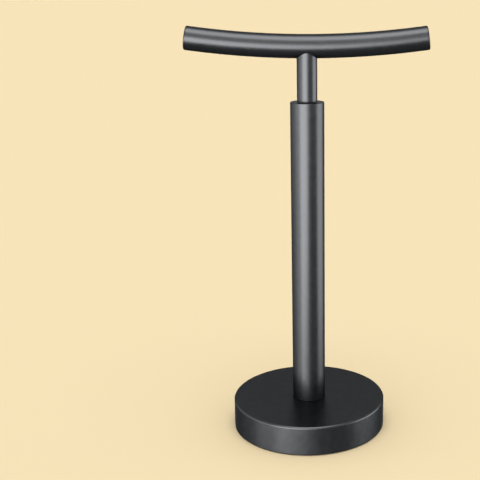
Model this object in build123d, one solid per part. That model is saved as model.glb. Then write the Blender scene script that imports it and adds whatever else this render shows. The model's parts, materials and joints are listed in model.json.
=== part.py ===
from build123d import *
from math import asin, atan2, cos, degrees, hypot, sin
import os

# A free-standing T-shaped towel stand. Millimetres, +Z up, X along the bar.
# The origin is the centre of the base's underside, on the surface it stands on.

# Overall sizes
overall_length = 259.1        # across the two ends of the bar, along X
overall_height = 449.6        # from the surface to the highest points, the bar's two tips

# Bar: a round tube bent to one arc whose ends rise
bar_diameter = 25.4
bar_wall = 1.2
bar_arc_radius = 935.0        # of the tube's centre line

# Neck: the thin tube under the bar
neck_diameter = 21.8
neck_wall = 1.5
neck_exposed = 45.8           # from the post's top face to the bar's underside

# Post: the thick tube
post_diameter = 36.6
post_wall = 1.5
post_rim_round = 0.5          # outer edge of the tube's top

# Base
base_diameter = 171.0
base_height = 33.2            # to the cover's top face, the pad included
cover_wall = 1.2
cover_top_round = 2.2         # outer radius between the cover's top and its skirt
cover_foot_round = 0.5
cover_lift = 1.0              # the skirt's edge stays this far above the surface

# Parts closed into the base
pad_thickness = 2.0
pad_inset = 3.0               # from the cover's skirt inwards
pad_edge_round = 0.6
pad_bore = 40.0
plate_thickness = 1.5
plate_bore = 30.0
weight_edge_chamfer = 2.5
weight_rim = 14.0             # width of the rim round the casting's hollow underside
weight_web = 8.0              # thickness of its top
weight_boss_diameter = 48.0
plate_screw_count = 3         # M4, countersunk, into the weight's rim
plate_screw_diameter = 4.0
plate_screw_head_diameter = 7.5
plate_screw_head_height = 1.2
plate_screw_length = 9.0      # from the plate's underside
well_diameter = 27.0          # the well that the bolt's head lies in
well_depth = 13.0

# Bolt and washers that hold the post, M8
bolt_diameter = 8.0
bolt_head_diameter = 13.0
bolt_head_height = 8.0
bolt_head_round = 0.6
hex_socket_across = 6.0
hex_socket_depth = 4.0
bolt_grip = 12.0              # length of thread held in the foot plug
flat_washer_diameter = 24.0
flat_washer_bore = 8.4
flat_washer_thickness = 2.0
spring_washer_diameter = 14.8
spring_washer_bore = 8.1
spring_washer_thickness = 2.0
spring_washer_slit = 1.2
spring_washer_slant = 25.0    # degrees, the slit's slope

# Plugs
foot_plug_height = 16.0
top_plug_height = 14.0
neck_plug_height = 16.0
plug_chamfer = 0.8
gasket_thickness = 0.8
gasket_inset = 0.8            # from the post's outer face inwards

# Stud that joins the T-bar to the post, M10 x 1.5
stud_diameter = 10.0
stud_thread_length = 12.0     # below the washer
stud_held_length = 14.0       # in the neck plug
stud_end_chamfer = 1.0
neck_washer_thickness = 0.8
neck_washer_inset = 0.5       # from the neck's outer face inwards

# End caps of the bar
cap_flange = 2.0
cap_edge_round = 1.5
cap_spigot_length = 7.0

# Clearances, all radial
shell_clearance = 0.3         # weight and plate inside the cover
countersink_clearance = 0.1   # screw heads in the plate
bolt_hole_clearance = 0.5     # the bolt through the cover, the weight and the gasket
thread_clearance = 0.05       # the stud in the top plug, which turns in it
washer_clearance = 0.3        # the neck washer round the stud
spigot_clearance = 0.05       # cap spigots inside the bar

match_tolerance = 1e-4        # within which an edge is taken to be at a height or radius

# Heights that follow
base_top = base_height
weight_bottom = pad_thickness + plate_thickness
weight_top = base_top - cover_wall
well_top = weight_bottom + well_depth
flat_washer_bottom = well_top - flat_washer_thickness
spring_washer_bottom = flat_washer_bottom - spring_washer_thickness
bolt_head_bottom = spring_washer_bottom - bolt_head_height
post_bottom = base_top + gasket_thickness

# Radii that follow
shell_bore_radius = base_diameter / 2 - cover_wall
filler_radius = shell_bore_radius - shell_clearance
weight_rim_radius = filler_radius - weight_rim
plate_screw_circle = filler_radius - weight_rim / 2
bolt_radius = bolt_diameter / 2
bolt_hole_radius = bolt_radius + bolt_hole_clearance
post_radius = post_diameter / 2
post_bore_radius = post_radius - post_wall
stud_radius = stud_diameter / 2
neck_radius = neck_diameter / 2
neck_bore_radius = neck_radius - neck_wall
bar_radius = bar_diameter / 2
bar_bore_radius = bar_radius - bar_wall

# The bar's arc: its lowest point is above the origin, and its tube ends at the caps' flanges.
# The half angle puts the rounded lower edge of each cap at half the overall length, and the
# centre's height puts the rounded upper edge at the overall height.
outer_reach = bar_arc_radius + bar_radius - cap_edge_round
inner_reach = bar_arc_radius - bar_radius + cap_edge_round
flange_flat = cap_flange - cap_edge_round
slant = atan2(flange_flat, outer_reach)
half_span = overall_length / 2 - cap_edge_round
bar_half_angle = asin(half_span / hypot(outer_reach, flange_flat)) - slant
tip_rise = flange_flat * sin(bar_half_angle) + cap_edge_round
arc_centre_height = overall_height + inner_reach * cos(bar_half_angle) - tip_rise
bar_underside = arc_centre_height - bar_arc_radius - bar_radius
post_top = bar_underside - neck_exposed
neck_bottom = post_top + neck_washer_thickness


def disc(radius, bottom, top):
    """An upright cylinder on the Z axis between two heights."""
    upright = Cylinder(radius, top - bottom, align=(Align.CENTER, Align.CENTER, Align.MIN))
    return Pos(0, 0, bottom) * upright


def ring(outer_radius, inner_radius, bottom, top):
    """An upright ring on the Z axis between two heights."""
    return disc(outer_radius, bottom, top) - disc(inner_radius, bottom, top)


def circles_at(shape, height, radius):
    """The round edges of a turned shape at one height and one radius."""
    def fits(edge):
        at_height = abs(edge.center(CenterOf.MASS).Z - height) < match_tolerance
        return at_height and abs(edge.radius - radius) < match_tolerance

    return ShapeList([edge for edge in shape.edges().filter_by(GeomType.CIRCLE) if fits(edge)])


def base_cover():
    """A pressed shell: a flat top with a bolt hole, a round shoulder and a skirt."""
    outside = disc(base_diameter / 2, cover_lift, base_top)
    outside = fillet(circles_at(outside, base_top, base_diameter / 2), cover_top_round)
    inside = disc(shell_bore_radius, cover_lift, weight_top)
    inner_round = cover_top_round - cover_wall
    inside = fillet(circles_at(inside, weight_top, shell_bore_radius), inner_round)
    shell = outside - inside - disc(bolt_hole_radius, weight_top, base_top)
    return fillet(circles_at(shell, cover_lift, base_diameter / 2), cover_foot_round)


def base_weight():
    """The cast disc in the cover: hollow underneath, with a boss and a well for the bolt's head."""
    block = disc(filler_radius, weight_bottom, weight_top)
    block = chamfer(circles_at(block, weight_top, filler_radius), weight_edge_chamfer)
    hollow_top = weight_top - weight_web
    hollow = ring(weight_rim_radius, weight_boss_diameter / 2, weight_bottom, hollow_top)
    well = disc(well_diameter / 2, weight_bottom, well_top)
    bolt_hole = disc(bolt_hole_radius, well_top, weight_top)
    return block - hollow - well - bolt_hole - screw_places() * plate_screw()


def screw_places():
    """The even places of the plate's screws round the weight's rim."""
    return PolarLocations(plate_screw_circle, plate_screw_count)


def plate_screw(head_play=0):
    """One countersunk screw that stands on the plate's underside."""
    bottom = pad_thickness
    shank = disc(plate_screw_diameter / 2, bottom, bottom + plate_screw_length)
    head = Cone(
        plate_screw_head_diameter / 2 + head_play,
        plate_screw_diameter / 2 + head_play,
        plate_screw_head_height,
        align=(Align.CENTER, Align.CENTER, Align.MIN),
    )
    return shank + Pos(0, 0, bottom) * head


def plate_screws():
    """The screws that hold the plate to the weight, as separate solids."""
    return Compound(children=[place * plate_screw() for place in screw_places()])


def base_plate():
    """The sheet that closes the casting's hollow and backs the pad."""
    plate = ring(filler_radius, plate_bore / 2, pad_thickness, weight_bottom)
    return plate - screw_places() * plate_screw(countersink_clearance)


def base_pad():
    """The soft ring that the stand rests on."""
    outer_radius = shell_bore_radius - pad_inset
    pad = ring(outer_radius, pad_bore / 2, 0, pad_thickness)
    return fillet(circles_at(pad, 0, outer_radius), pad_edge_round)


def base_bolt():
    """The cap screw that goes up through the weight into the post's foot."""
    head_top = spring_washer_bottom
    head = disc(bolt_head_diameter / 2, bolt_head_bottom, head_top)
    head = fillet(circles_at(head, bolt_head_bottom, bolt_head_diameter / 2), bolt_head_round)
    socket = RegularPolygon(hex_socket_across / 2, 6, major_radius=False)
    recess = extrude(Pos(0, 0, bolt_head_bottom) * socket, amount=hex_socket_depth)
    shank = disc(bolt_radius, head_top, post_bottom + bolt_grip)
    shank = chamfer(circles_at(shank, post_bottom + bolt_grip, bolt_radius), plug_chamfer)
    return head - recess + shank


def base_flat_washer():
    """The wide washer against the well's ceiling."""
    return ring(flat_washer_diameter / 2, flat_washer_bore / 2, flat_washer_bottom, well_top)


def base_spring_washer():
    """The split washer between the bolt's head and the flat washer."""
    outer_radius = spring_washer_diameter / 2
    washer = ring(outer_radius, spring_washer_bore / 2, spring_washer_bottom, flat_washer_bottom)
    cutter_height = 3 * spring_washer_thickness
    cutter = Box(spring_washer_diameter, spring_washer_slit, cutter_height)
    middle = (spring_washer_bottom + flat_washer_bottom) / 2
    slit = Pos(outer_radius, 0, middle) * Rot(spring_washer_slant, 0, 0) * cutter
    return washer - slit


def post_gasket():
    """The thin ring under the post, which keeps it off the cover's finish."""
    return ring(post_radius - gasket_inset, bolt_hole_radius, base_top, post_bottom)


def post_tube():
    """The thick upright tube."""
    tube = ring(post_radius, post_bore_radius, post_bottom, post_top)
    return fillet(circles_at(tube, post_top, post_radius), post_rim_round)


def post_foot_plug():
    """The plug welded into the post's foot, tapped for the bolt."""
    plug_top = post_bottom + foot_plug_height
    plug = disc(post_bore_radius, post_bottom, plug_top)
    plug = chamfer(circles_at(plug, plug_top, post_bore_radius), plug_chamfer)
    return plug - disc(bolt_radius, post_bottom, plug_top)


def post_top_plug():
    """The plug flush with the post's top, tapped for the stud."""
    plug_bottom = post_top - top_plug_height
    plug = disc(post_bore_radius, plug_bottom, post_top)
    plug = chamfer(circles_at(plug, plug_bottom, post_bore_radius), plug_chamfer)
    return plug - disc(stud_radius + thread_clearance, plug_bottom, post_top)


def neck_washer():
    """The thin washer between the post's top and the neck's foot."""
    outer_radius = neck_radius - neck_washer_inset
    return ring(outer_radius, stud_radius + washer_clearance, post_top, neck_bottom)


def neck_stud():
    """The threaded rod, fixed in the neck and screwed into the post."""
    foot = post_top - stud_thread_length
    head = neck_bottom + stud_held_length
    rod = disc(stud_radius, foot, head)
    ends = circles_at(rod, foot, stud_radius) + circles_at(rod, head, stud_radius)
    return chamfer(ends, stud_end_chamfer)


def neck_plug():
    """The plug welded into the neck's foot, which holds the stud."""
    plug_top = neck_bottom + neck_plug_height
    plug = disc(neck_bore_radius, neck_bottom, plug_top)
    plug = chamfer(circles_at(plug, plug_top, neck_bore_radius), plug_chamfer)
    return plug - neck_stud()


def bar_sweep(radius):
    """A round rod along the bar's arc, cut square at both ends."""
    arc_plane = Plane(origin=(0, 0, arc_centre_height), x_dir=(1, 0, 0), z_dir=(0, -1, 0))
    half = degrees(bar_half_angle)
    path = arc_plane * CenterArc((0, 0), bar_arc_radius, 270 - half, 2 * half)
    section = Plane(path @ 0, z_dir=path % 0) * Circle(radius)
    return sweep(section, path=path)


def neck_tube():
    """The thin tube, cut to the bar's round at its top."""
    blank = ring(neck_radius, neck_bore_radius, neck_bottom, bar_underside + bar_radius)
    return blank - bar_sweep(bar_radius)


def bar_tube():
    """The bent tube between the two caps' flanges."""
    return bar_sweep(bar_radius) - bar_sweep(bar_bore_radius)


def end_cap(side):
    """A cap for one end of the bar: -1 is the left end and 1 the right."""
    cap = disc(bar_radius, 0, cap_flange)
    cap = fillet(circles_at(cap, cap_flange, bar_radius), cap_edge_round)
    spigot_radius = bar_bore_radius - spigot_clearance
    spigot = disc(spigot_radius, -cap_spigot_length, 0)
    cap += chamfer(circles_at(spigot, -cap_spigot_length, spigot_radius), plug_chamfer)
    tube_end = (
        side * bar_arc_radius * sin(bar_half_angle),
        0,
        arc_centre_height - bar_arc_radius * cos(bar_half_angle),
    )
    outward = (side * cos(bar_half_angle), 0, sin(bar_half_angle))
    return Plane(origin=tube_end, x_dir=(0, 1, 0), z_dir=outward) * cap


nodes = {
    "base_cover": base_cover(),
    "base_weight": base_weight(),
    "base_plate": base_plate(),
    "base_plate_screws": plate_screws(),
    "base_pad": base_pad(),
    "base_bolt": base_bolt(),
    "base_flat_washer": base_flat_washer(),
    "base_spring_washer": base_spring_washer(),
    "post_gasket": post_gasket(),
    "post_tube": post_tube(),
    "post_foot_plug": post_foot_plug(),
    "post_top_plug": post_top_plug(),
    "neck_washer": neck_washer(),
    "neck_stud": neck_stud(),
    "neck_plug": neck_plug(),
    "neck_tube": neck_tube(),
    "bar_tube": bar_tube(),
    "left_end_cap": end_cap(-1),
    "right_end_cap": end_cap(1),
}

os.makedirs("parts", exist_ok=True)
for name, shape in nodes.items():
    export_step(shape, f"parts/{name}.step")
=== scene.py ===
import json
from math import asin, atan2, cos, hypot, pi, radians, sin, sqrt, tan

import bmesh
import bpy
from mathutils import Matrix, Quaternion, Vector

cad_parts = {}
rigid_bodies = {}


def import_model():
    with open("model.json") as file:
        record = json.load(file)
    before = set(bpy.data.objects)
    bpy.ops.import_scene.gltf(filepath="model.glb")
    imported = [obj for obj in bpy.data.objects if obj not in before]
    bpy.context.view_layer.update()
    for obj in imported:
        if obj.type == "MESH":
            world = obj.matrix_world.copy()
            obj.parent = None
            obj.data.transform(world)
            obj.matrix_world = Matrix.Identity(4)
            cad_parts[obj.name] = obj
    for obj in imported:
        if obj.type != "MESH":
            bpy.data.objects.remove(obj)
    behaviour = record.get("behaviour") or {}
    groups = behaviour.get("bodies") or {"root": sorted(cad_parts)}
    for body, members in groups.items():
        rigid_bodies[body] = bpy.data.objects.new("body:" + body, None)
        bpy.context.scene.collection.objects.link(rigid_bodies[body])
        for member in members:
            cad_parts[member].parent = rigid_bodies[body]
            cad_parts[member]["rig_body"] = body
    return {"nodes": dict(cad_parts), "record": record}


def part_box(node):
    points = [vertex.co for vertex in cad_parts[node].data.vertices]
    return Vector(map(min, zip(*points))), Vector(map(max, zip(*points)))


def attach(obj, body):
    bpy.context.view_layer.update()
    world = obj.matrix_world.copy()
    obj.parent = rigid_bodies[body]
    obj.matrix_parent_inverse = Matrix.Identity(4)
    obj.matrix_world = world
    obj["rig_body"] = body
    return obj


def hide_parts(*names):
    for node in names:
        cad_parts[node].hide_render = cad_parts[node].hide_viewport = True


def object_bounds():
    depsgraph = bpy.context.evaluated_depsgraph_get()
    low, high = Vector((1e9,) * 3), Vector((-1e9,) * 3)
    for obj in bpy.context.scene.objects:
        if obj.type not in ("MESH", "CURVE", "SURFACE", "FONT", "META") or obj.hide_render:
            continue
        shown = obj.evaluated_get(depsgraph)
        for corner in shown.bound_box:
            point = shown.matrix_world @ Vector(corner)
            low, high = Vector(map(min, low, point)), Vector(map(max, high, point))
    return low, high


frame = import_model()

# A free-standing T-shaped towel stand. Metres, +Z up, X along the bar, -Y towards the front.
MM = 0.001
cad_low, cad_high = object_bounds()

# Sizes that the frame gives
cover_low, cover_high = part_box("base_cover")
pad_low, pad_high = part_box("base_pad")
bolt_low, bolt_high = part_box("base_bolt")
spring_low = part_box("base_spring_washer")[0]
post_low, post_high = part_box("post_tube")
plug_low, plug_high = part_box("post_top_plug")
washer_low, washer_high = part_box("neck_washer")
neck_low, neck_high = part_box("neck_tube")
stud_low, stud_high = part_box("neck_stud")
bar_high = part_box("bar_tube")[1]

# Sizes inside the boxes
COVER_WALL = 1.2 * MM
COVER_TOP_ROUND = 2.2 * MM
COVER_HOLE = 4.5 * MM
PAD_BORE = 20.0 * MM
POST_WALL = 1.5 * MM
NECK_WALL = 1.5 * MM
BAR_WALL = 1.2 * MM
BAR_ARC = 935.0 * MM
CAP_FLANGE = 2.0 * MM
CAP_ROUND = 1.5 * MM
CAP_SPIGOT = 7.0 * MM
SPIGOT_PLAY = 0.05 * MM
SPIGOT_CHAMFER = 0.8 * MM
SEAM = 0.08 * MM            # break of the edges where two coated pieces meet
FILLET = 0.25 * MM          # of paint and weld where the neck meets the bar
FILLET_UNDERCUT = 0.05 * MM
WELD_DEPTH = 0.4 * MM       # how far the neck reaches into the bar
BOLT_RADIUS = 4.0 * MM
BOLT_PITCH = 1.25 * MM
BOLT_CHAMFER = 0.8 * MM
HEAD_RADIUS = 6.5 * MM
SOCKET_ACROSS = 6.0 * MM
SOCKET_DEPTH = 4.0 * MM
STUD_PITCH = 1.5 * MM
STUD_CHAMFER = 1.0 * MM
STUD_PLAY = 0.05 * MM
PLUG_COUNTERSINK = 0.6 * MM
PLUG_CHAMFER = 0.8 * MM
WASHER_PLAY = 0.3 * MM

# Rounds of the edges
COVER_HOLE_EDGE = 0.2 * MM
COVER_FOOT_EDGE = 0.5 * MM
COVER_LIP_EDGE = 0.2 * MM
PAD_FOOT_EDGE = 0.6 * MM
PAD_BORE_EDGE = 0.4 * MM
POST_TOP_EDGE = 0.5 * MM
POST_FOOT_EDGE = 0.3 * MM
NECK_FOOT_EDGE = 0.3 * MM
NECK_EDGE_MIDDLE = 0.09 * MM
WASHER_EDGE = 0.15 * MM
WASHER_BORE_EDGE = 0.05 * MM
FINE_EDGE = 0.1 * MM

# Sides of the round pieces, and steps along them
COVER_SIDES = 288
TUBE_SIDES = 192
SMALL_SIDES = 128
BAR_SIDES = 96
BOLT_SIDES = 96
STUD_SIDES = 96
STAGE_SIDES = 96
BAR_STEPS = 160
BAR_BORE_STEPS = 40
NECK_STEPS = 24
NECK_BORE_STEPS = 12
FILLET_STEPS = 6

TINY = 1e-7
THREAD_DEPTH = 0.5413       # of an ISO metric thread, as a share of its pitch
NOISE_LOW, NOISE_HIGH = 0.3, 0.7


# ---------------------------------------------------------------- mesh helpers

def finished(bm, name, node, material, sharp=40.0):
    """Turns a bmesh into a piece that stands for one CAD node and rides on that node's body."""
    bmesh.ops.recalc_face_normals(bm, faces=bm.faces)
    mesh = bpy.data.meshes.new(name)
    bm.to_mesh(mesh)
    bm.free()
    mesh.shade_smooth()
    mesh.set_sharp_from_angle(angle=radians(sharp))
    piece = bpy.data.objects.new(name, mesh)
    bpy.context.scene.collection.objects.link(piece)
    mesh.materials.append(material)
    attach(piece, frame["nodes"][node]["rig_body"])
    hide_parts(node)
    return piece


def loft(bm, rings, closed=True):
    """Joins rings of points into a skin, which a closed one carries on to the first ring.

    A ring of one point is a pole.
    """
    made = [[bm.verts.new(p) for p in ring] for ring in rings]
    pairs = list(zip(made, made[1:]))
    if closed:
        pairs.append((made[-1], made[0]))
    for a, b in pairs:
        count = max(len(a), len(b))
        for i in range(count):
            j = (i + 1) % count
            if len(a) == 1:
                bm.faces.new((a[0], b[i], b[j]))
            elif len(b) == 1:
                bm.faces.new((a[i], b[0], a[j]))
            else:
                bm.faces.new((a[i], b[i], b[j], a[j]))


def circle(radius, height, segments):
    """A level ring of points; on the axis it is one point."""
    if radius < TINY:
        return [Vector((0, 0, height))]
    turns = [2 * pi * i / segments for i in range(segments)]
    return [Vector((radius * cos(t), radius * sin(t), height)) for t in turns]


def rounded(corners, closed=True, support=0.25 * MM, steps=8):
    """An outline with each corner (x, z, radius) rounded.

    Points beside each round keep the flats flat.
    """
    points = [Vector(c[:2]) for c in corners]
    count = len(points)
    reach = []
    for i in range(count):
        back, on = points[i - 1] - points[i], points[(i + 1) % count] - points[i]
        end = not closed and i in (0, count - 1)
        reach.append(0.0 if end else corners[i][2] / tan(back.angle(on) / 2))
    outline = []
    for i in range(count):
        if not closed and i in (0, count - 1):
            outline.append(points[i])
            continue
        j = (i + 1) % count
        back, on = points[i - 1] - points[i], points[j] - points[i]
        room_back = min(support, (back.length - reach[i] - reach[i - 1]) / 3)
        room_on = min(support, (on.length - reach[i] - reach[j]) / 3)
        back.normalize()
        on.normalize()
        if room_back > TINY:
            outline.append(points[i] + back * (reach[i] + room_back))
        if corners[i][2] > 0:
            middle = (back + on).normalized() * (corners[i][2] / sin(back.angle(on) / 2))
            start, stop = back * reach[i] - middle, on * reach[i] - middle
            sweep = start.angle_signed(stop)
            for k in range(steps + 1):
                spoke = start.copy()
                spoke.rotate(Matrix.Rotation(-sweep * k / steps, 2))
                outline.append(points[i] + middle + spoke)
        else:
            outline.append(points[i])
        if room_on > TINY:
            outline.append(points[i] + on * (reach[i] + room_on))
    return outline


def turned(bm, corners, segments, closed=True):
    """A turned shape on the Z axis from its outline."""
    rings = [circle(x, z, segments) for x, z in rounded(corners, closed)]
    loft(bm, rings, closed)


def threaded(bm, radius, pitch, low, high, chamfer, segments=64):
    """A right-handed threaded rod with chamfered ends.

    It is one skin along the helix, cut level at both ends. Each point of the thread's form is a
    share of the pitch and a cut below the crest.
    """
    depth = THREAD_DEPTH * pitch
    form = [
        (-1 / 16, 0.0), (1 / 16, 0.0), (0.22, depth / 2),
        (3 / 8, depth), (5 / 8, depth), (0.78, depth / 2),
    ]
    spare = 2
    turns = int((high - low) / pitch) + 2 * spare
    start = low - spare * pitch
    rows = []
    for g in range(turns * segments + 1):
        angle = 2 * pi * g / segments
        row = []
        for share, cut in form:
            z = start + pitch * (g / segments + share)
            r = min(radius - cut, radius - chamfer + z - low, radius - chamfer + high - z)
            r = max(r, radius / 2)
            row.append(bm.verts.new((r * cos(angle), r * sin(angle), z)))
        rows.append(row)
    for g in range(turns * segments):
        for j in range(len(form) - 1):
            bm.faces.new((rows[g][j], rows[g + 1][j], rows[g + 1][j + 1], rows[g][j + 1]))
        if g + segments + 1 < len(rows):
            above = rows[g + segments], rows[g + segments + 1]
            bm.faces.new((rows[g][-1], rows[g + 1][-1], above[1][0], above[0][0]))
    for height, way in ((low, -1), (high, 1)):
        cut = bmesh.ops.bisect_plane(
            bm, geom=bm.verts[:] + bm.edges[:] + bm.faces[:], dist=TINY,
            plane_co=(0, 0, height), plane_no=(0, 0, way), clear_outer=True,
        )
        edges = [e for e in cut["geom_cut"] if isinstance(e, bmesh.types.BMEdge)]
        bmesh.ops.edgeloop_fill(bm, edges=edges)


# ---------------------------------------------------------------- materials

def node_material(name):
    """An empty node material: its tree, its shader and a maker of further nodes."""
    material = bpy.data.materials.new(name)
    material.use_nodes = True
    tree = material.node_tree
    shader = tree.nodes["Principled BSDF"]

    def add(kind, **values):
        node = tree.nodes.new(kind)
        for key, value in values.items():
            setattr(node, key, value)
        return node

    return material, tree, shader, add


def pattern(tree, add, scale, detail=2.0, stretch=(1, 1, 1)):
    """Noise in the object's own metres, optionally stretched along an axis."""
    place = add("ShaderNodeTexCoord")
    mapping = add("ShaderNodeMapping")
    mapping.inputs["Scale"].default_value = stretch
    noise = add("ShaderNodeTexNoise")
    noise.inputs["Scale"].default_value = scale
    noise.inputs["Detail"].default_value = detail
    tree.links.new(place.outputs["Object"], mapping.inputs["Vector"])
    tree.links.new(mapping.outputs["Vector"], noise.inputs["Vector"])
    return noise.outputs["Fac"]


def ranged(tree, add, value, low, high, start=NOISE_LOW, end=NOISE_HIGH):
    """Maps a pattern to a range of numbers."""
    node = add("ShaderNodeMapRange")
    for key, number in (("From Min", start), ("From Max", end), ("To Min", low), ("To Max", high)):
        node.inputs[key].default_value = number
    tree.links.new(value, node.inputs["Value"])
    return node.outputs["Result"]


def tinted(tree, add, value, dark, light):
    """Colours a pattern between two colours."""
    ramp = add("ShaderNodeValToRGB")
    ramp.color_ramp.elements[0].position = NOISE_LOW
    ramp.color_ramp.elements[1].position = NOISE_HIGH
    ramp.color_ramp.elements[0].color = (*dark, 1)
    ramp.color_ramp.elements[1].color = (*light, 1)
    tree.links.new(value, ramp.inputs["Fac"])
    return ramp.outputs["Color"]


def bumps(tree, add, shader, *layers):
    """Stacks bumps, each a pattern and its height in metres."""
    normal = None
    for value, height in layers:
        bump = add("ShaderNodeBump")
        bump.inputs["Strength"].default_value = 1.0
        bump.inputs["Distance"].default_value = height
        tree.links.new(value, bump.inputs["Height"])
        if normal:
            tree.links.new(normal, bump.inputs["Normal"])
        normal = bump.outputs["Normal"]
    tree.links.new(normal, shader.inputs["Normal"])


def black_coating():
    """Satin black coating: a dark metallic sheen with fine orange peel and faint mottling."""
    material, tree, shader, add = node_material("black_coating")
    shader.inputs["Metallic"].default_value = 1.0
    shader.inputs["Specular Tint"].default_value = (0.4, 0.4, 0.4, 1)
    mottle = pattern(tree, add, scale=160, detail=3)
    peel = pattern(tree, add, scale=1500, detail=1)
    grain = pattern(tree, add, scale=6000, detail=1)
    tree.links.new(tinted(tree, add, mottle, (0.054, 0.0555, 0.058), (0.060, 0.0615, 0.064)),
                   shader.inputs["Base Color"])
    tree.links.new(ranged(tree, add, mottle, low=0.30, high=0.34), shader.inputs["Roughness"])
    bumps(tree, add, shader, (peel, 0.012 * MM), (grain, 0.004 * MM))
    return material


def zinc_steel():
    """Zinc plating: bright blue-white metal with faint blotches and brushed lines."""
    material, tree, shader, add = node_material("zinc_steel")
    shader.inputs["Metallic"].default_value = 1.0
    blotch = pattern(tree, add, scale=180, detail=4)
    lines = pattern(tree, add, scale=900, detail=3, stretch=(1, 1, 8))
    tree.links.new(tinted(tree, add, blotch, (0.30, 0.31, 0.335), (0.40, 0.405, 0.41)),
                   shader.inputs["Base Color"])
    tree.links.new(ranged(tree, add, blotch, low=0.26, high=0.40), shader.inputs["Roughness"])
    bumps(tree, add, shader, (lines, 0.006 * MM))
    return material


def plain_steel():
    """Turned steel: fine rings left by the tool under a thin film of oil."""
    material, tree, shader, add = node_material("plain_steel")
    shader.inputs["Metallic"].default_value = 1.0
    stain = pattern(tree, add, scale=260, detail=4)
    rings = pattern(tree, add, scale=300, detail=2, stretch=(1, 1, 20))
    tree.links.new(tinted(tree, add, stain, (0.36, 0.35, 0.33), (0.48, 0.48, 0.47)),
                   shader.inputs["Base Color"])
    tree.links.new(ranged(tree, add, stain, low=0.30, high=0.45), shader.inputs["Roughness"])
    bumps(tree, add, shader, (rings, 0.01 * MM))
    return material


def cast_iron():
    """Cast iron: coarse sand-cast skin, dark grey with brown stains."""
    material, tree, shader, add = node_material("cast_iron")
    shader.inputs["Metallic"].default_value = 0.6
    stain = pattern(tree, add, scale=90, detail=5)
    sand = pattern(tree, add, scale=1400, detail=4)
    tree.links.new(tinted(tree, add, stain, (0.10, 0.095, 0.09), (0.19, 0.185, 0.18)),
                   shader.inputs["Base Color"])
    tree.links.new(ranged(tree, add, sand, low=0.62, high=0.85), shader.inputs["Roughness"])
    bumps(tree, add, shader, (sand, 0.15 * MM), (stain, 0.2 * MM))
    return material


def foam_rubber():
    """Fine-celled foam rubber with an open, matte face; painted shade darkens the pit of each
    cell.
    """
    material, tree, shader, add = node_material("foam_rubber")
    place = add("ShaderNodeTexCoord")
    cells = add("ShaderNodeTexVoronoi", feature="F1")
    cells.inputs["Scale"].default_value = 1600
    tree.links.new(place.outputs["Object"], cells.inputs["Vector"])
    cloud = pattern(tree, add, scale=120, detail=3)
    # Painted shade: the colour is darker towards the bottom of each cell's pit, which the bump
    # below sinks.
    tree.links.new(
        tinted(tree, add, cells.outputs["Distance"], (0.012, 0.012, 0.013), (0.036, 0.036, 0.038)),
        shader.inputs["Base Color"],
    )
    tree.links.new(ranged(tree, add, cloud, low=0.85, high=0.97), shader.inputs["Roughness"])
    shader.inputs["Specular IOR Level"].default_value = 0.3
    bumps(tree, add, shader, (cells.outputs["Distance"], 0.12 * MM))
    return material


def nylon():
    """Moulded black nylon with a fine spark-eroded grain."""
    material, tree, shader, add = node_material("nylon")
    grain = pattern(tree, add, scale=2600, detail=3)
    tree.links.new(tinted(tree, add, grain, (0.012, 0.012, 0.013), (0.022, 0.022, 0.023)),
                   shader.inputs["Base Color"])
    tree.links.new(ranged(tree, add, grain, low=0.42, high=0.58), shader.inputs["Roughness"])
    bumps(tree, add, shader, (grain, 0.03 * MM))
    return material


makers = (black_coating, cast_iron, zinc_steel, plain_steel, foam_rubber, nylon)
materials = {make.__name__: make() for make in makers}
slot_of = {part["node"]: part["material_slot"] for part in frame["record"]["subparts"]}
for node, shape in frame["nodes"].items():
    shape.data.materials.clear()
    shape.data.materials.append(materials[slot_of[node]])


def piece(bm, node, sharp=40.0):
    """Finishes a bmesh as the visible piece of one CAD node, in that node's material."""
    return finished(bm, node + "_shown", node, materials[slot_of[node]], sharp)


# ---------------------------------------------------------------- base

def make_cover():
    radius, top, foot = cover_high.x, cover_high.z, cover_low.z
    bm = bmesh.new()
    turned(bm, [
        (COVER_HOLE, top, COVER_HOLE_EDGE),
        (radius, top, COVER_TOP_ROUND),
        (radius, foot, COVER_FOOT_EDGE),
        (radius - COVER_WALL, foot, COVER_LIP_EDGE),
        (radius - COVER_WALL, top - COVER_WALL, COVER_TOP_ROUND - COVER_WALL),
        (COVER_HOLE, top - COVER_WALL, FINE_EDGE),
    ], COVER_SIDES)
    piece(bm, "base_cover")


def make_pad():
    radius = pad_high.x
    bm = bmesh.new()
    turned(bm, [
        (PAD_BORE, pad_high.z, FINE_EDGE),
        (radius, pad_high.z, FINE_EDGE),
        (radius, pad_low.z, PAD_FOOT_EDGE),
        (PAD_BORE, pad_low.z, PAD_BORE_EDGE),
    ], TUBE_SIDES)
    piece(bm, "base_pad")


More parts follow.
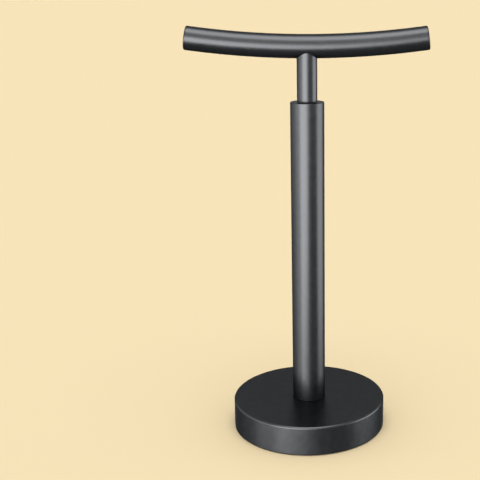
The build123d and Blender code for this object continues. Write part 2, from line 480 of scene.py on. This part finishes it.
def make_bolt():
    """A socket cap screw: knurled head, hexagon socket, rolled thread."""
    bottom, top = bolt_low.z, spring_low.z
    turns = [2 * pi * i / BOLT_SIDES for i in range(BOLT_SIDES)]

    def ring(size, height, ridge=0.0):
        return [
            Vector(((size - ridge * (i % 2)) * cos(t), (size - ridge * (i % 2)) * sin(t), height))
            for i, t in enumerate(turns)
        ]

    def hexagon(height, grow=1.0):
        side = pi / 3
        sizes = [grow * SOCKET_ACROSS / 2 / cos((t % side) - side / 2) for t in turns]
        return [Vector((s * cos(t), s * sin(t), height)) for s, t in zip(sizes, turns)]

    # Rows of the head, in millimetres: in from its side, and up from its face or down from its top
    face = [(0.75, 0.0), (0.6, 0.03), (0.2, 0.25), (0.0, 0.7)]
    neck = [(0.0, 0.5), (0.15, 0.1), (0.3, 0.0)]
    knurl = 0.18 * MM
    knurl_low, knurl_high = bottom + 1.0 * MM, top - 0.7 * MM
    cone = 0.8 * MM
    floor_share = 0.97
    mouth = 0.35 * MM
    lip_inner, lip_outer, lip_drop = 3.85 * MM, 4.0 * MM, 0.05 * MM
    shank = 3.6 * MM
    overlap = 0.5 * MM

    bm = bmesh.new()
    deep = bottom + SOCKET_DEPTH
    rings = [
        [Vector((0, 0, deep + cone))],
        hexagon(deep, floor_share), hexagon(deep - FINE_EDGE), hexagon(bottom + mouth),
        ring(lip_inner, bottom + lip_drop), ring(lip_outer, bottom),
    ]
    rings += [ring(HEAD_RADIUS - inset * MM, bottom + rise * MM) for inset, rise in face]
    rings += [ring(HEAD_RADIUS, knurl_low, knurl), ring(HEAD_RADIUS, knurl_high, knurl)]
    rings += [ring(HEAD_RADIUS - inset * MM, top - drop * MM) for inset, drop in neck]
    rings += [ring(shank, top), [Vector((0, 0, top))]]
    loft(bm, rings, closed=False)
    threaded(bm, BOLT_RADIUS, BOLT_PITCH, top - overlap, bolt_high.z, BOLT_CHAMFER)
    piece(bm, "base_bolt", sharp=30.0)


# ---------------------------------------------------------------- post

def make_post():
    radius, top, foot = post_high.x, post_high.z, post_low.z
    bm = bmesh.new()
    turned(bm, [
        (radius - POST_WALL, top, SEAM),
        (radius, top, POST_TOP_EDGE),
        (radius, foot, POST_FOOT_EDGE),
        (radius - POST_WALL, foot, FINE_EDGE),
    ], TUBE_SIDES)
    piece(bm, "post_tube")


def make_top_plug():
    radius, top, foot = plug_high.x, plug_high.z, plug_low.z
    hole = stud_high.x + STUD_PLAY
    bm = bmesh.new()
    turned(bm, [
        (hole, top - PLUG_COUNTERSINK, 0),
        (hole + PLUG_COUNTERSINK, top, FINE_EDGE),
        (radius, top, SEAM),
        (radius, foot + PLUG_CHAMFER, 0),
        (radius - PLUG_CHAMFER, foot, 0),
        (hole, foot, FINE_EDGE),
    ], TUBE_SIDES)
    piece(bm, "post_top_plug")


def make_neck_washer():
    hole = stud_high.x + WASHER_PLAY
    bm = bmesh.new()
    turned(bm, [
        (hole, washer_low.z, WASHER_BORE_EDGE),
        (washer_high.x, washer_low.z, WASHER_EDGE),
        (washer_high.x, washer_high.z, WASHER_EDGE),
        (hole, washer_high.z, WASHER_BORE_EDGE),
    ], SMALL_SIDES)
    piece(bm, "neck_washer")


def make_stud():
    bm = bmesh.new()
    threaded(bm, stud_high.x, STUD_PITCH, stud_low.z, stud_high.z, STUD_CHAMFER, STUD_SIDES)
    piece(bm, "neck_stud", sharp=30.0)


# ---------------------------------------------------------------- T-bar

bar_radius = bar_high.y
neck_radius = neck_high.x

# The arc of the bar: the caps' rounded tips reach the ends of the whole object's box.
flat = CAP_FLANGE - CAP_ROUND
outer_reach = BAR_ARC + bar_radius - CAP_ROUND
inner_reach = BAR_ARC - bar_radius + CAP_ROUND
half_angle = asin((cad_high.x - CAP_ROUND) / hypot(outer_reach, flat)) - atan2(flat, outer_reach)
arc_centre = cad_high.z - CAP_ROUND - flat * sin(half_angle) + inner_reach * cos(half_angle)


def make_bar():
    turns = [2 * pi * i / BAR_SIDES for i in range(BAR_SIDES)]

    def ring(angle, radius):
        out = Vector((sin(angle), 0, -cos(angle)))
        middle = Vector((0, 0, arc_centre)) + out * BAR_ARC
        return [middle + radius * (out * cos(t) + Vector((0, sin(t), 0))) for t in turns]

    seam = SEAM / BAR_ARC
    beside = 0.35 * MM / BAR_ARC
    inside = bar_radius - BAR_WALL
    spread = 2 * half_angle - 2 * beside
    rings = [ring(-half_angle, inside), ring(-half_angle, bar_radius - SEAM)]
    rings.append(ring(-half_angle + seam, bar_radius))
    for k in range(BAR_STEPS + 1):
        rings.append(ring(-half_angle + beside + spread * k / BAR_STEPS, bar_radius))
    rings.append(ring(half_angle - seam, bar_radius))
    rings += [ring(half_angle, bar_radius - SEAM), ring(half_angle, inside)]
    for k in range(1, BAR_BORE_STEPS):
        rings.append(ring(half_angle - 2 * half_angle * k / BAR_BORE_STEPS, inside))
    bm = bmesh.new()
    loft(bm, rings)
    piece(bm, "bar_tube")


def make_cap(side, node):
    spigot = bar_radius - BAR_WALL - SPIGOT_PLAY
    bm = bmesh.new()
    turned(bm, [
        (0, CAP_FLANGE, 0),
        (bar_radius, CAP_FLANGE, CAP_ROUND),
        (bar_radius, 0, SEAM),
        (spigot, 0, 0),
        (spigot, -CAP_SPIGOT + SPIGOT_CHAMFER, 0),
        (spigot - SPIGOT_CHAMFER, -CAP_SPIGOT, 0),
        (0, -CAP_SPIGOT, 0),
    ], BAR_SIDES, closed=False)
    out = Vector((side * cos(half_angle), 0, sin(half_angle)))
    across = Vector((0, 1, 0))
    turn = Matrix((across, out.cross(across), out)).transposed().to_4x4()
    end = Vector((side * BAR_ARC * sin(half_angle), 0, arc_centre - BAR_ARC * cos(half_angle)))
    bmesh.ops.transform(bm, matrix=Matrix.Translation(end) @ turn, verts=bm.verts)
    piece(bm, node)


def make_neck():
    """The neck's tube, cut to the bar's round, with a small fillet of paint where they meet."""
    turns = [2 * pi * i / SMALL_SIDES for i in range(SMALL_SIDES)]
    inside = neck_radius - NECK_WALL

    def saddle(x, y):
        return arc_centre - sqrt((BAR_ARC + sqrt(bar_radius ** 2 - y ** 2)) ** 2 - x ** 2)

    def under_bar(radius, drop, share=1.0):
        """A ring this far under the saddle, or at a share of the way up to it."""
        made = []
        for t in turns:
            x, y = radius * cos(t), radius * sin(t)
            top = saddle(x, y) - drop
            made.append(Vector((x, y, neck_low.z + (top - neck_low.z) * share)))
        return made

    foot = neck_low.z
    outline = [
        (inside + FINE_EDGE, 0.0),
        (neck_radius - NECK_FOOT_EDGE, 0.0),
        (neck_radius - NECK_EDGE_MIDDLE, NECK_EDGE_MIDDLE),
        (neck_radius, NECK_FOOT_EDGE),
        (neck_radius, 2 * NECK_FOOT_EDGE),
    ]
    rings = [circle(radius, foot + rise, SMALL_SIDES) for radius, rise in outline]
    rings += [under_bar(neck_radius, FILLET, k / NECK_STEPS) for k in range(1, NECK_STEPS + 1)]
    for k in range(1, FILLET_STEPS + 1):
        bend = pi / 2 * k / FILLET_STEPS
        radius = neck_radius + FILLET * (1 - cos(bend))
        drop = FILLET * (1 - sin(bend)) - FILLET_UNDERCUT * k / FILLET_STEPS
        rings.append(under_bar(radius, drop))
    rings += [under_bar(neck_radius, -WELD_DEPTH), under_bar(inside, -WELD_DEPTH)]
    for k in range(1, NECK_BORE_STEPS):
        rings.append(under_bar(inside, -WELD_DEPTH, 1 - k / NECK_BORE_STEPS))
    rings.append(circle(inside, foot + FINE_EDGE, SMALL_SIDES))
    bm = bmesh.new()
    loft(bm, rings)
    piece(bm, "neck_tube")


make_cover()
make_pad()
make_bolt()
make_post()
make_top_plug()
make_neck_washer()
make_stud()
make_neck()
make_bar()
make_cap(-1, "left_end_cap")
make_cap(1, "right_end_cap")


# ---------------------------------------------------------------- stage, light, camera

def stage_piece(name, rings):
    """A piece of the studio, which isn't part of the object and isn't mirrored in it."""
    bm = bmesh.new()
    loft(bm, rings, closed=False)
    mesh = bpy.data.meshes.new(name)
    bm.to_mesh(mesh)
    bm.free()
    made = bpy.data.objects.new(name, mesh)
    bpy.context.scene.collection.objects.link(made)
    material, tree, shader, add = node_material(name)
    mesh.materials.append(material)
    made.visible_glossy = False
    made.visible_shadow = False
    return made, tree, shader, add


FLOOR = (0.64, 0.524, 0.328)
FLOOR_SIZE = 20.0
FLOOR_RINGS = (0, 0.5, 2, 8, FLOOR_SIZE)
BACKDROP_HEIGHTS = (-1, 14)
BACKDROP_GLOW = (0.939, 0.767, 0.479, 1)

rings = [circle(radius, 0, STAGE_SIDES) for radius in FLOOR_RINGS]
tree, shader, add = stage_piece("floor", rings)[1:]
shader.inputs["Roughness"].default_value = 1.0
shader.inputs["Specular IOR Level"].default_value = 0.0
cloud = pattern(tree, add, scale=30, detail=2)
tree.links.new(tinted(tree, add, cloud, FLOOR, FLOOR), shader.inputs["Base Color"])

rings = [circle(FLOOR_SIZE, height, STAGE_SIDES) for height in BACKDROP_HEIGHTS]
backdrop, _, shader, _ = stage_piece("backdrop", rings)
backdrop.visible_diffuse = False
shader.inputs["Base Color"].default_value = (0, 0, 0, 1)
shader.inputs["Specular IOR Level"].default_value = 0.0
shader.inputs["Emission Color"].default_value = BACKDROP_GLOW
shader.inputs["Emission Strength"].default_value = 1.0

TARGET = Vector((0, 0, 0.22))
LIGHT_DISTANCE = 3.0
SUN_ANGLE, SUN_TILT, SUN_POWER = 45, 10, 2.3
HORIZON_LOW, HORIZON_HIGH = -0.45, 0.0
GLOW_LOW, GLOW_HIGH = 0.24, 0.76
WORLD_COLOR = (0.99, 1.0, 1.01, 1)
LENS, SENSOR = 72.64, 36
SHIFT_X, SHIFT_Y = -0.1937, -0.0323
CAMERA_PLACE = (0.0275, -1.0315, 0.5009)
CAMERA_TILT = 0.2522        # below the horizon, in radians


def softbox(name, azimuth, elevation, width, height, radiance, roll=0):
    """A rectangular light that faces the object, turned by its roll about the line between them.

    Azimuth 0 is in front and 90 to the right.
    """
    a, e = radians(azimuth), radians(elevation)
    way = Vector((sin(a) * cos(e), -cos(a) * cos(e), sin(e)))
    light = bpy.data.lights.new(name, "AREA")
    light.shape = "RECTANGLE"
    light.size, light.size_y = width, height
    light.energy = radiance * width * height * pi
    made = bpy.data.objects.new(name, light)
    bpy.context.scene.collection.objects.link(made)
    made.location = TARGET + way * LIGHT_DISTANCE
    made.rotation_mode = "QUATERNION"
    made.rotation_quaternion = way.to_track_quat("Z", "Y") @ Quaternion((0, 0, 1), radians(roll))
    made.visible_camera = False
    made.visible_diffuse = False


softbox("key", -25.5, -2.9, width=2.9, height=2.35, radiance=7.2, roll=11)
softbox("key_right", 8, 4, width=0.6, height=1.3, radiance=3.2)
softbox("front_fill", -5, 40, width=2.4, height=1.9, radiance=0.8)
softbox("key_tail", -68, -7, width=1.7, height=2.45, radiance=2.2, roll=6)
softbox("left_fill", -110, 0, width=3.2, height=3.0, radiance=0.9)
softbox("side", 96, -3, width=3.0, height=2.4, radiance=3.9)

sun = bpy.data.objects.new("top", bpy.data.lights.new("top", "SUN"))
sun.data.angle = radians(SUN_ANGLE)
sun.data.energy = SUN_POWER
sun.rotation_euler = (radians(SUN_TILT), 0, 0)
bpy.context.scene.collection.objects.link(sun)

world = bpy.data.worlds.new("studio")
world.use_nodes = True
tree = world.node_tree
place = tree.nodes.new("ShaderNodeTexCoord")
split = tree.nodes.new("ShaderNodeSeparateXYZ")
level = tree.nodes.new("ShaderNodeMapRange")
tree.links.new(place.outputs["Generated"], split.inputs["Vector"])
tree.links.new(split.outputs["Z"], level.inputs["Value"])
level.inputs["From Min"].default_value = HORIZON_LOW
level.inputs["From Max"].default_value = HORIZON_HIGH
level.inputs["To Min"].default_value = GLOW_LOW
level.inputs["To Max"].default_value = GLOW_HIGH
tree.links.new(level.outputs["Result"], tree.nodes["Background"].inputs["Strength"])
tree.nodes["Background"].inputs["Color"].default_value = WORLD_COLOR
bpy.context.scene.world = world
bpy.context.scene.view_settings.view_transform = "Standard"

camera = bpy.data.objects.new("camera", bpy.data.cameras.new("camera"))
bpy.context.scene.collection.objects.link(camera)
bpy.context.scene.camera = camera
camera.data.sensor_width = SENSOR
camera.data.lens = LENS
camera.data.shift_x = SHIFT_X
camera.data.shift_y = SHIFT_Y
camera.data.clip_start, camera.data.clip_end = 0.05, 100
camera.location = CAMERA_PLACE
camera.rotation_euler = (pi / 2 - CAMERA_TILT, 0, 0)
